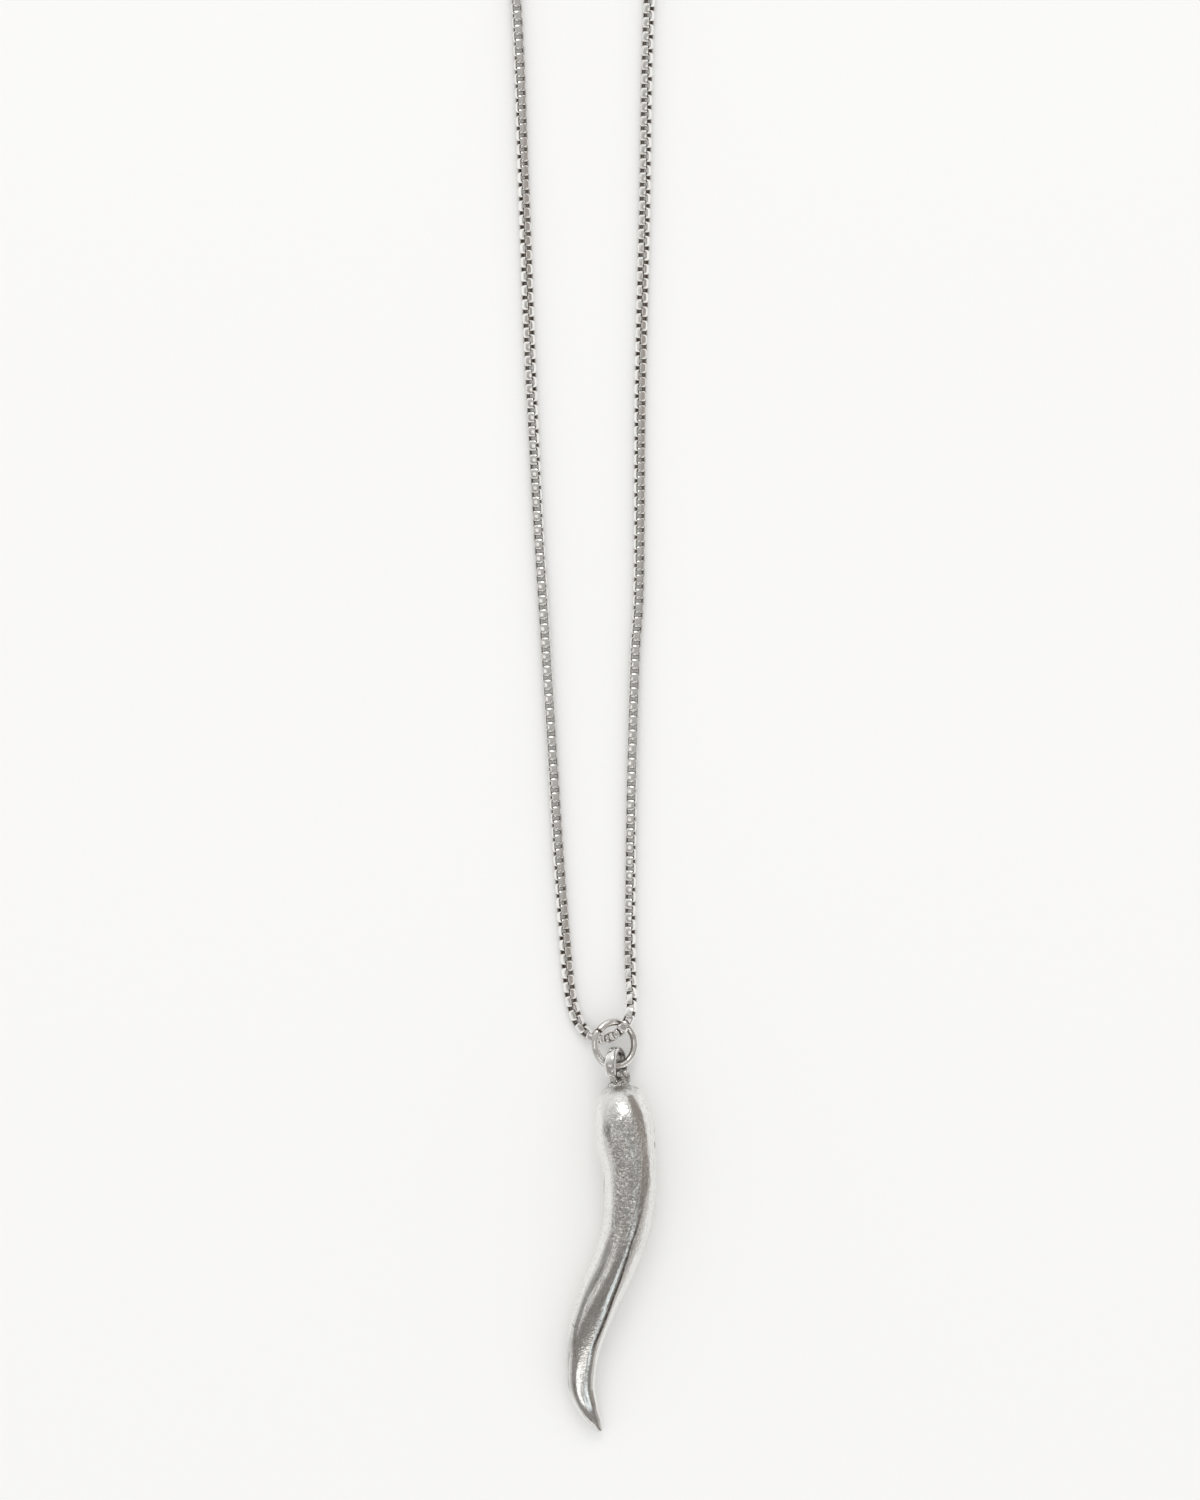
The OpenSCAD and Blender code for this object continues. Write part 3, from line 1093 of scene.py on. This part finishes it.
@dataclass
class BoxChain(Piece):
    """The box chain, link through link along its route, with a soldered ring at each end."""

    pitch: float = 0.000783
    lie_height: float = 0.00069
    end_overlap: float = 0.0006
    end_ring_outer: float = 0.0032
    end_ring_wire: float = 0.0006
    end_ring_places: tuple[float, float] = (-0.0079, 0.0003)
    end_ring_y: float = 0.2325
    samples_per_row: int = 40
    # Painted shade under the links: how far below their middle it starts, how far it takes to be full, and
    # how dark it gets.
    shade_starts_below: float = 0.00012
    shade_fade: float = 0.00025
    underside_shade: float = 0.92
    link: BoxLink = field(default_factory=BoxLink)
    finish: DrawnSilver = DrawnSilver(
        "chain_silver", roughness=0.12, line_depth_mm=0.001, ripple_depth_mm=0.010, ripple_pitch_mm=0.45
    )

    def build(self) -> None:
        """Adds the links and the end rings."""
        log.info("box_chain: %d links", self._links(*self._route()))
        self._end_rings()

    def _route(self) -> tuple[np.ndarray, np.ndarray]:
        """The middle line and the roll, finely divided."""
        rows = smooth_table(CHAIN_ROUTE, self.samples_per_row)
        return rows[:, :3] + UP * self.lie_height, rows[:, 3]

    def _links(self, places: np.ndarray, rolls: np.ndarray) -> int:
        """Threads the links along the line. Their undersides get painted shade.

        Args:
            places: The middle line.
            rolls: Roll at each of its points, in degrees.

        Returns:
            How many there are.
        """
        run = distances(places)
        spans = 2 * round((run[-1] - 2 * self.end_overlap) / self.pitch / 2)
        at = np.linspace(self.end_overlap, run[-1] - self.end_overlap, spans + 1)
        pattern, dark = self.link.pattern()
        half = (self.link.outer + self.link.stretch) / 2 - self.link.wall
        for i, s in enumerate(at):
            middle, back, front = (self._at(places, run, s + d) for d in (0, -half, half))
            ahead = unit(front - back)
            left = unit(np.cross(UP, ahead))
            above = np.cross(ahead, left)
            roll = radians(np.interp(s, run, rolls) + 90 * (i % 2) + 1.6 * grainy((i, 0, 0), 2.7))
            hole = above * cos(roll) + left * sin(roll)
            side = np.cross(ahead, hole)
            axes = np.stack((side, ahead, hole))
            lie = pattern / MM + np.array((0.0, 7.3 * i, 0.0))
            own = pattern @ axes
            # Painted shade on each link's underside.
            underneath = np.clip((-own[..., 2] - self.shade_starts_below) / self.shade_fade, 0.0, 1.0)
            oxide_and_shade = np.maximum(dark, self.underside_shade * underneath)
            self.skin.shell(middle + own, lie, 1.0, oxide_and_shade, endless=True)
        return len(at)

    def _at(self, places: np.ndarray, run: np.ndarray, s: float) -> np.ndarray:
        """The middle line's point at a distance along it."""
        return np.array([np.interp(s, run, places[:, k]) for k in range(3)])

    def _end_rings(self) -> None:
        """Adds the soldered ring at each end, standing on edge."""
        for x in self.end_ring_places:
            middle = np.array((x, self.end_ring_y, self.end_ring_outer / 2))
            size = (self.end_ring_outer, self.end_ring_wire)
            self.round_wire(middle, turned("X", 90), *size, steps=48, sides=12)


@dataclass
class SpringRing(Piece):
    """The spring ring clasp, closed: its tube, the bolt that closes it, its lug and its eye."""

    middle: Triple = (-0.0024, 0.2325, 0.0015)
    outer: float = 0.006
    tube: float = 0.0012
    bolt: float = 0.00092
    opening_deg: tuple[float, float] = (-38.0, 22.0)
    eye_outer: float = 0.0026
    eye_wire: float = 0.0006
    eye_sunk: float = 0.0004
    lug_deg: float = -60.0
    lug_wide: float = 0.0008
    lug_long: float = 0.0011
    finish: DrawnSilver = DrawnSilver("clasp_silver", roughness=0.12, ripple_depth_mm=0.004)

    def build(self) -> None:
        """Adds the tube, the bolt, the eye and the lug."""
        middle, flat = np.array(self.middle), np.identity(3)
        start, end = self.opening_deg
        ring = self.outer - self.tube

        def lips(angle: float, side: float) -> tuple[float, float]:
            """The tube is rolled in at its two mouths and has a groove beside each."""
            near = min(abs(angle - end), abs(angle - start - 360))
            roll = 0.10 * (1 - ease(near, 0, 2.5))
            groove = 0.05 * exp(-(((near - 7) / 1.1) ** 2))
            return 0.0, 0.995 - roll - groove

        mouths = {"span_deg": (end, start + 360), "steps": 150, "sides": 28, "swell": lips}
        self.round_wire(middle, flat, self.outer, self.tube, **mouths)
        closed = {"span_deg": (start - 6, end + 6), "steps": 40, "sides": 24}
        self.round_wire(middle, flat, ring + self.bolt, self.bolt, **closed)
        eye = middle - np.array((self.outer / 2 + self.eye_outer / 2 - self.eye_sunk, 0.0, 0.0))
        self.round_wire(eye, flat, self.eye_outer, self.eye_wire, steps=60, sides=18)
        self._lug(middle, ring / 2)

    def _lug(self, middle: np.ndarray, radius: float) -> None:
        """Adds the thumb lug, a short waisted peg with a domed end.

        Args:
            middle: Middle of the clasp.
            radius: Middle radius of its tube.
        """
        profile = (
            (0.00, 0.80), (0.45, 0.80), (0.56, 0.72), (0.64, 0.74), (0.74, 0.92),
            (0.82, 1.00), (0.90, 0.97), (0.96, 0.82), (0.99, 0.55), (1.00, 0.22),
        )
        turn = turned("Z", self.lug_deg)
        sides = 20
        rings = np.zeros((len(profile), sides, 3))
        for i, (share, size) in enumerate(profile):
            for k in range(sides):
                angle = 2 * pi * k / sides
                reach = self.lug_wide / 2 * size
                own = (radius + self.lug_long * share, reach * cos(angle), reach * sin(angle))
                rings[i, k] = middle + turn @ np.array(own)
        self.skin.shell(rings, rings / MM, 1.0, 0.0)


@dataclass(frozen=True)
class Lamp:
    """A soft oval lamp in the ceiling, facing straight down, placed from over the object."""

    name: str
    right: float
    back: float
    wide: float
    deep: float
    turn_deg: float
    radiance: float
    tint: Triple
    above: float = 1.0

    def hang(self, over: Vector) -> None:
        """Hangs the lamp.

        Args:
            over: The place on the floor that it is placed from.
        """
        light = bpy.data.lights.new(self.name, "AREA")
        light.shape = "ELLIPSE"
        light.size, light.size_y = self.wide, self.deep
        light.energy = self.radiance * pi * self.wide * self.deep * pi / 4
        light.color = self.tint
        lamp = placed(self.name, light)
        lamp.location = over + Vector((self.right, self.back, self.above))
        lamp.rotation_euler = (0.0, 0.0, radians(self.turn_deg))
        lamp.visible_camera = False


@dataclass
class Studio:
    """Camera, floor, room and lamps.

    Places in the room are where a ray meets a ceiling one unit up: so far to the right, so far back.
    """

    look_at: tuple[float, float] = (0.001856, -0.06356)
    lamps_over: tuple[float, float] = (0.0, -0.12)
    camera_height: float = 1.0
    view_height: float = 0.16667
    sensor: float = 30.0
    floor_half: float = 14.0
    floor_drop: float = 0.00001
    sheet_light: float = 0.86
    ceiling: Triple = (0.44, 0.427, 0.413)
    front: Triple = (0.34, 0.323, 0.307)
    back: Triple = (0.74, 0.73, 0.715)
    ends: Triple = (0.98, 0.975, 0.96)
    hatch: Triple = (0.98, 0.96, 0.93)
    left_side: Triple = (0.80, 0.78, 0.76)
    left_wall: Triple = (0.68, 0.66, 0.64)
    wall: Triple = (0.61, 0.585, 0.56)
    wood: Triple = (0.36, 0.325, 0.30)
    pane: Triple = (1.22, 1.32, 1.34)
    frame: Triple = (0.30, 0.285, 0.27)
    lamps: tuple[Lamp, ...] = (
        Lamp("window", -0.04, 1.27, 0.86, 0.78, 0, 3.2, (1.0, 0.99, 0.97)),
        Lamp("front_strip", 0.05, -0.575, 0.62, 0.13, 4, 1.6, (1.0, 0.995, 0.98)),
    )

    def set_up(self) -> None:
        """Makes everything that isn't the part."""
        settings = bpy.context.scene.view_settings
        settings.view_transform, settings.look = "Standard", "None"
        self._camera()
        self._floor()
        self._room()
        for lamp in self.lamps:
            lamp.hang(Vector((*self.lamps_over, 0.0)))

    def _camera(self) -> None:
        """Hangs the camera straight over the photographed part of the piece."""
        data = bpy.data.cameras.new("camera")
        data.sensor_width = self.sensor
        data.lens = self.sensor * self.camera_height / self.view_height
        data.clip_start, data.clip_end = 0.1, 60.0
        camera = placed("camera", data)
        camera.location = (*self.look_at, self.camera_height)
        bpy.context.scene.camera = camera

    def _floor(self) -> None:
        """Lays the pale sheet."""
        h, z = self.floor_half, -self.floor_drop
        mesh = bpy.data.meshes.new("floor")
        mesh.from_pydata([(-h, -h, z), (h, -h, z), (h, h, z), (-h, h, z)], [], [(0, 1, 2, 3)])
        mesh.materials.append(PaleSheet().material())
        placed("floor", mesh)

    def _room(self) -> None:
        """Sets the room: what the metal mirrors, and the even light that the sheet gets."""
        world = bpy.data.worlds.new("room")
        bpy.context.scene.world = world
        bench = Bench(world)
        seen = self._mirrored(bench)
        path = bench.node("LightPath", {}, {}, "Is Camera Ray")
        even = (self.sheet_light,) * 3
        lit = bench.blend(path.out("Is Diffuse Ray"), seen, even)
        shown = bench.blend(path, lit, even)
        sky = bench.node("Background", {}, {"Color": shown, "Strength": 1.0})
        bench.node("OutputWorld", {}, {"Surface": sky})

    def _mirrored(self, bench: Bench) -> Wire:
        """The room as the metal mirrors it: a dim ceiling, a window at the right and pale walls.

        Args:
            bench: Where the nodes go.

        Returns:
            The colour of each direction.
        """
        way = bench.node("TexCoord", {}, {}, "Generated")
        parts = bench.node("SeparateXYZ", {}, {0: way})
        up = parts.out("Z").most(0.01)
        right = parts / up
        left = -right
        front = -(parts.out("Y") / up)
        below = front - right * 0.20
        hatch = bench.between(left, 0.14, 0.26, 0.88, 1.10) * bench.between(front, -0.14, -0.04, 0.14, 0.22)
        pane = bench.between(right, 0.36, 0.44, 0.70, 0.76) * bench.between(front, 0.32, 0.38, 0.64, 0.70)
        panels = (
            (bench.mask(front, 0.05, 0.25), self.front),
            (bench.mask(-front, 0.15, 1.3), self.back),
            (bench.mask(abs(front), 1.5, 2.2), self.ends),
            (hatch, self.hatch),
            (bench.mask(left, 2.4, 9.0), self.left_side),
            (bench.mask(left, 1.6, 2.4) * bench.mask(front - left * 0.08, 0.20, 0.40), self.left_wall),
            (bench.mask(right, 0.75, 1.3), self.wood),
            (pane, self.pane),
            (bench.mask(right, 0.74, 0.82) * bench.mask(below, 0.16, 0.24), self.frame),
            (bench.mask(right, 1.7, 2.3) * bench.mask(below, 0.22, 0.36), self.wall),
        )
        seen: Shading = self.ceiling
        for share, tint in panels:
            seen = bench.blend(share, seen, tint)
        return seen


def main() -> None:
    """Builds the studio and the pieces, in order."""
    logging.basicConfig(level=logging.INFO, format="%(name)s: %(message)s")
    Studio().set_up()
    CastHorn().make("cast_horn", "horn", Slot.HORN, 50)
    JumpRing().make("jump_ring_wire", "jump_ring", Slot.RING, 50)
    BoxChain().make("box_chain", "chain", Slot.CHAIN, 48)
    SpringRing().make("spring_ring", "clasp", Slot.CLASP, 45)


if __name__ == "__main__":
    main()
